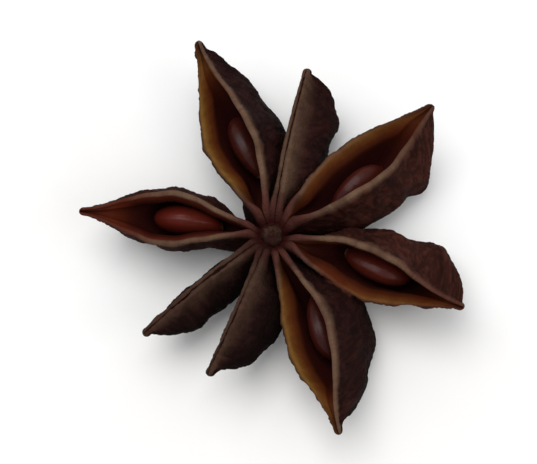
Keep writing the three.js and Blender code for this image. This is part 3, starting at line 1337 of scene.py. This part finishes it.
class Effects:
    """The effects that more than one finish uses, each a node group built once."""

    def __init__(self) -> None:
        """Builds the groups."""
        self.patches = self._patches()
        self.grain = self._grain()

    def _patches(self) -> bpy.types.NodeTree:
        """Soft-edged patches: where noise of a given size passes from low to high.

        Returns:
            The group: inputs Place, Size, Low, High and Ragged, output Mask.
        """
        group = Group("patches", "ShaderNodeTree")
        place = group.take("Place", "Vector")
        size = group.take("Size", value=2.0)
        low = group.take("Low", value=0.4)
        high = group.take("High", value=0.6)
        ragged = group.take("Ragged", value=0.5)
        wander = group.noise(place, 1.0 / size, 4.0)
        shreds = group.noise(place, 5.0 / size, 3.0) - 0.5
        step = group.node(
            "ShaderNodeMapRange",
            {"interpolation_type": "SMOOTHSTEP"},
            Value=wander + shreds * ragged * 0.4,
            From_Min=low,
            From_Max=high,
        )
        group.give("Mask", step.outputs["Result"])
        return group.tree

    def _grain(self) -> bpy.types.NodeTree:
        """Fine pitting.

        Returns:
            The group: inputs Place and Size, output Height.
        """
        group = Group("fine grain", "ShaderNodeTree")
        place = group.take("Place", "Vector")
        size = group.take("Size", value=0.3)
        pits = group.noise(place, 1.0 / size, 4.0, 0.4)
        group.give("Height", pits.ease(0.3, 0.7))
        return group.tree


@dataclass(frozen=True)
class HuskFinish:
    """The husk's skin: dark outside, with pale lips, golden faces and a dark red chamber."""

    # Near black: the dark mottling, and painted shade in the creases, on walls that face away from
    # the light and towards the keel.
    keel: Colour = shade("#0e0807")
    skin: Colour = shade("#2a1514")
    red_patch: Colour = shade("#25120f")
    # Lighter, warmer wall for carpels with a high warm: partly their own tone, partly painted
    # light.
    warm_skin: Colour = shade("#45241d")
    warm_patch: Colour = shade("#452119")
    # Grey dust, partly a painted highlight where it lies on the raised ridges.
    dust: Colour = shade("#45352a")
    lip: Colour = shade("#664f3e")
    lip_root: Colour = shade("#4a2a24")
    gold: Colour = shade("#785625")
    amber: Colour = shade("#5f3a16")
    orange: Colour = shade("#4b230e")
    red_face: Colour = shade("#4f1d12")
    # The throat's dark, used for streaks and for painted shade deep in the mouth and at its narrow
    # ends.
    throat: Colour = shade("#30120c")
    end_floor: Colour = shade("#4c1d0f")
    # The seed chamber's dark red, partly its own tone and partly painted shade; the column below
    # the button takes it too.
    chamber: Colour = shade("#341311")
    button: Colour = shade("#2b1915")
    fleck: Colour = shade("#402b24")
    rough_wall: float = 0.6
    rough_face: float = 0.42
    gloss: float = 0.02
    grain: float = 0.05

    def material(self, effects: Effects) -> bpy.types.Material:
        """Writes the material.

        Args:
            effects: the shared effects.

        Returns:
            The material.
        """
        surface = Surface("dried husk")
        place = surface.skin_place()
        spot = surface.object_place()
        patch = partial(surface.effect, effects.patches, "Mask")
        dark = patch(Place=place, Size=1.9, Low=0.46, High=0.7)
        streaks = patch(Place=place, Size=0.8, Low=0.35, High=0.7)
        red = patch(Place=spot, Size=3.2, Low=0.46, High=0.6)
        dust_and_highlight_mask = patch(Place=spot, Size=1.1, Low=0.5, High=0.68, Ragged=1.0)
        flecks = patch(Place=place, Size=0.5, Low=0.5, High=0.65)
        smooth = surface.mark("inner")
        button = surface.blend(flecks * 0.8, self.button, self.fleck)
        middle = surface.blend(surface.mark("button"), self.chamber, button)
        colour = surface.layered(
            self.wall(surface, dark, red, dust_and_highlight_mask),
            (smooth, self.mouth(surface, streaks)),
            (surface.mark("lip"), self.lips(surface, dark, streaks)),
            (surface.mark("hub"), middle),
        )
        surface.set("Base Color", colour)
        grain = surface.effect(effects.grain, "Height", Place=spot, Size=0.22)
        surface.set("Roughness", mix(grain * 0.15 + self.rough_wall, self.rough_face, smooth))
        surface.set("Specular IOR Level", self.gloss)
        surface.bump(grain * (1.0 - smooth * 0.8), self.grain)
        return surface.material

    def plain(self, surface: Surface) -> Field:
        """The bare skin's colour."""
        # warm lightens the wall partly as its own tone and partly as painted light.
        return surface.blend(surface.mark("warm"), self.skin, self.warm_skin)

    def wall(self, surface: Surface, dark: Field, red: Field, dust_and_highlight_mask: Field) -> Field:
        """The outer wall's colour, darker in the creases and down towards the keel.

        Args:
            surface: the material.
            dark: where it is darker.
            red: where it is redder.
            dust_and_highlight_mask: where it is dusty; on the raised ridges this also paints a
                highlight.

        Returns:
            The colour.
        """
        down = surface.mark("down")
        warm = surface.mark("warm")
        reddish = surface.blend(warm, self.red_patch, self.warm_patch)
        return surface.layered(
            self.plain(surface),
            (red * 0.8, reddish),
            # Dust, partly a painted highlight: it shows only on the raised ridges.
            (dust_and_highlight_mask * 0.25 * surface.mark("swollen").ease(-0.2, 0.5), self.dust),
            (dark * 0.45, self.keel),
            # Painted shade in the creases.
            (surface.mark("hollow") * 0.6, self.keel),
            # Painted shade on the walls of carpels that face away from the light, fading out as
            # warm rises.
            (down.ease(0.08, 0.4) * (1.0 - warm) ** 10.0 * 0.82, self.keel),
            # Painted shade down towards the keel, on the wall's underside.
            (down.ease(0.3, 0.92) * 0.92, self.keel),
        )

    def mouth(self, surface: Surface, streaks: Field) -> Field:
        """It darkens with depth below the seam, towards the narrow ends and down in the seed
        chamber:
        partly the faces' own tone, partly painted shade.

        Args:
            surface: the material.
            streaks: where the faces are streaked.

        Returns:
            The colour.
        """
        along = surface.mark("along")
        below = surface.mark("below")
        red = surface.mark("red")
        redder = red * (along.ease(0.62, 0.3) * 0.75 + 1.0)
        # Gold to amber with depth: partly the face's own tone, partly painted shade.
        golden = surface.blend(below.ease(0.15, 0.6), self.gold, self.amber)
        return surface.layered(
            surface.blend(redder.share(), golden, self.red_face),
            # Orange to the throat's dark with depth: partly own tone, partly painted shade.
            (below.ease(0.5, 1.0), surface.blend(red, self.orange, self.throat)),
            (streaks * 0.3, self.throat),
            # Painted shade deep in the mouth.
            (below.ease(0.9, 1.7), self.throat),
            (along.ease(0.68, 0.8) * (red * 0.5 + 0.25), self.end_floor),
            # Painted shade in the narrow ends of the mouth, towards the beak and the hub.
            (along.ease(0.8, 0.98) * 0.75, self.throat),
            (along.ease(0.26, 0.12) * 0.6, self.throat),
            # Painted shade in the seed chamber, over its own dark red.
            (surface.mark("cavity"), self.chamber),
        )

    def lips(self, surface: Surface, dark: Field, streaks: Field) -> Field:
        """The lips' colour: pale, and more like what lies beside them towards the beak.

        Args:
            surface: the material.
            dark: where they are darker.
            streaks: where they are streaked.

        Returns:
            The colour.
        """
        along = surface.mark("along")
        red = surface.mark("red")
        warm = surface.mark("warm")
        return surface.layered(
            surface.blend(along.ease(0.26, 0.08), self.lip, self.lip_root),
            (dark * 0.45, self.skin),
            (streaks * 0.35, self.lip_root),
            (along.ease(0.45, 0.85) * (warm * 0.6 + 0.15), self.plain(surface)),
            (along.ease(0.5, 0.8) * red**3.0 * 0.75, self.red_face),
        )


@dataclass(frozen=True)
class SeedFinish:
    """A seed's hard glossy coat."""

    coat: Colour = shade("#290e0b")
    red_coat: Colour = shade("#501810")
    warm: Colour = shade("#43190f")
    scar: Colour = shade("#6c5038")
    roughness: float = 0.3
    gloss: float = 0.13
    coat_weight: float = 0.04
    coat_roughness: float = 0.2
    grain: float = 0.012

    def material(self, effects: Effects) -> bpy.types.Material:
        """Writes the material.

        Args:
            effects: the shared effects.

        Returns:
            The material.
        """
        surface = Surface("seed coat")
        place = surface.skin_place()
        warm = surface.effect(effects.patches, "Mask", Place=place, Size=2.4, Low=0.4, High=0.66)
        plain = surface.blend(surface.mark("tone"), self.coat, self.red_coat)
        layers = ((warm * 0.5, self.warm), (surface.mark("scar"), self.scar))
        surface.set("Base Color", surface.layered(plain, *layers))
        grain = surface.effect(effects.grain, "Height", Place=place, Size=0.5)
        surface.set("Roughness", grain * 0.1 + self.roughness)
        surface.set("Specular IOR Level", self.gloss)
        surface.set("Coat Roughness", self.coat_roughness)
        surface.set("Coat Weight", self.coat_weight)
        surface.bump(grain, self.grain)
        return surface.material


@dataclass(frozen=True)
class FloorFinish:
    """The plain pale floor."""

    paper: Colour = shade("#f4f3f1")
    warm: Colour = shade("#efedea")
    cloud: float = 40.0
    roughness: float = 0.85
    gloss: float = 0.2

    def material(self, effects: Effects) -> bpy.types.Material:
        """Writes the material.

        Args:
            effects: the shared effects.

        Returns:
            The material.
        """
        surface = Surface("pale floor")
        place = surface.object_place()
        cloudy = surface.effect(effects.patches, "Mask", Place=place, Size=self.cloud)
        surface.set("Base Color", surface.blend(cloudy, self.paper, self.warm))
        surface.set("Roughness", self.roughness)
        surface.set("Specular IOR Level", self.gloss)
        return surface.material


@dataclass(frozen=True)
class Softbox:
    """A square soft light that faces the fruit: place and size in metres, power in watts."""

    name: str
    place: tuple[float, float, float]
    size: float
    power: float

    def hang(self) -> None:
        """Hangs the light in the scene."""
        light = bpy.data.lights.new(self.name, "AREA")
        light.size = self.size
        light.energy = self.power
        lamp = added(self.name, light)
        lamp.location = self.place
        lamp.rotation_euler = Vector(self.place).to_track_quat("Z", "Y").to_euler()


@dataclass
class Studio:
    """The floor, the soft lights and the camera. Lengths in metres, angles in degrees."""

    floor_half: float = 0.6
    floor_drop: float = 2e-5
    softboxes: tuple[Softbox, ...] = (
        Softbox("key", (-0.07, 0.06, 0.36), 0.26, 0.76),
        Softbox("fill", (0.26, -0.14, 0.26), 0.24, 0.24),
    )
    room_light: Colour = (0.95, 0.97, 1.0, 1.0)
    room_strength: float = 0.7
    view_height: float = 72.0
    view_distance: float = 0.188
    aim: tuple[float, float, float] = (-0.0003, 0.0, 0.00625)
    lens: float = 150.0

    def build(self, effects: Effects) -> None:
        """Builds everything round the fruit.

        Args:
            effects: the shared effects.
        """
        self.floor(FloorFinish().material(effects))
        for softbox in self.softboxes:
            softbox.hang()
        self.room()
        self.camera()

    def floor(self, finish: bpy.types.Material) -> None:
        """Lays the floor just under the fruit's rest plane.

        Args:
            finish: the floor's material.
        """
        mesh = bmesh.new()
        bmesh.ops.create_grid(mesh, x_segments=1, y_segments=1, size=self.floor_half)
        bmesh.ops.translate(mesh, verts=mesh.verts, vec=(0, 0, -self.floor_drop))
        data = bpy.data.meshes.new("floor")
        mesh.to_mesh(data)
        mesh.free()
        data.materials.append(finish)
        added("floor", data)

    def room(self) -> None:
        """Fills the room with a soft even light."""
        world = bpy.data.worlds.new("soft room")
        world.use_nodes = True
        background = world.node_tree.nodes["Background"]
        background.inputs["Color"].default_value = self.room_light
        background.inputs["Strength"].default_value = self.room_strength
        bpy.context.scene.world = world
        bpy.context.scene.view_settings.view_transform = "Standard"

    def camera(self) -> None:
        """Sets the camera at the photograph's viewing angle."""
        rise = math.radians(self.view_height)
        back = Vector((0.0, -math.cos(rise), math.sin(rise)))
        lens = bpy.data.cameras.new("camera")
        lens.lens = self.lens
        lens.clip_start = 0.01
        lens.clip_end = 10.0
        camera = added("camera", lens)
        camera.location = Vector(self.aim) + back * self.view_distance
        camera.rotation_euler = back.to_track_quat("Z", "Y").to_euler()
        bpy.context.scene.camera = camera


@dataclass
class StarAnise:
    """The whole fruit: the husk and a seed in each open carpel."""

    place: bpy.types.NodeTree
    effects: Effects
    seed_stations: int = 65
    seed_rounds: int = 73

    def build(self) -> None:
        """Builds the pieces and sets them on the frame."""
        husk = Husk(self.place).build(HuskFinish().material(self.effects))
        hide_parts("carpel_star")
        self.seat(husk)
        shape = SeedShape(self.place).tree()
        coat = SeedFinish().material(self.effects)
        for carpel in CARPELS:
            if carpel.seam is Seam.OPEN:
                inputs = carpel.inputs(self.seed_stations, self.seed_rounds, coat)
                seed = grow(shape, f"{carpel.name}_seed", inputs)
                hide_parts(f"seed_{carpel.name}")
                self.seat(seed)

    def seat(self, piece: bpy.types.Object) -> None:
        """Sets a finished piece on the frame.

        Args:
            piece: the piece.
        """
        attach(piece, "root")
        counts = (len(piece.data.vertices), len(piece.data.polygons))
        LOG.info("%s: %d points, %d faces", piece.name, *counts)


def main() -> None:
    """Builds the fruit, its floor, lights and camera."""
    logging.basicConfig(level=logging.INFO)
    effects = Effects()
    Studio().build(effects)
    StarAnise(place_group(), effects).build()


if __name__ == "__main__":
    main()
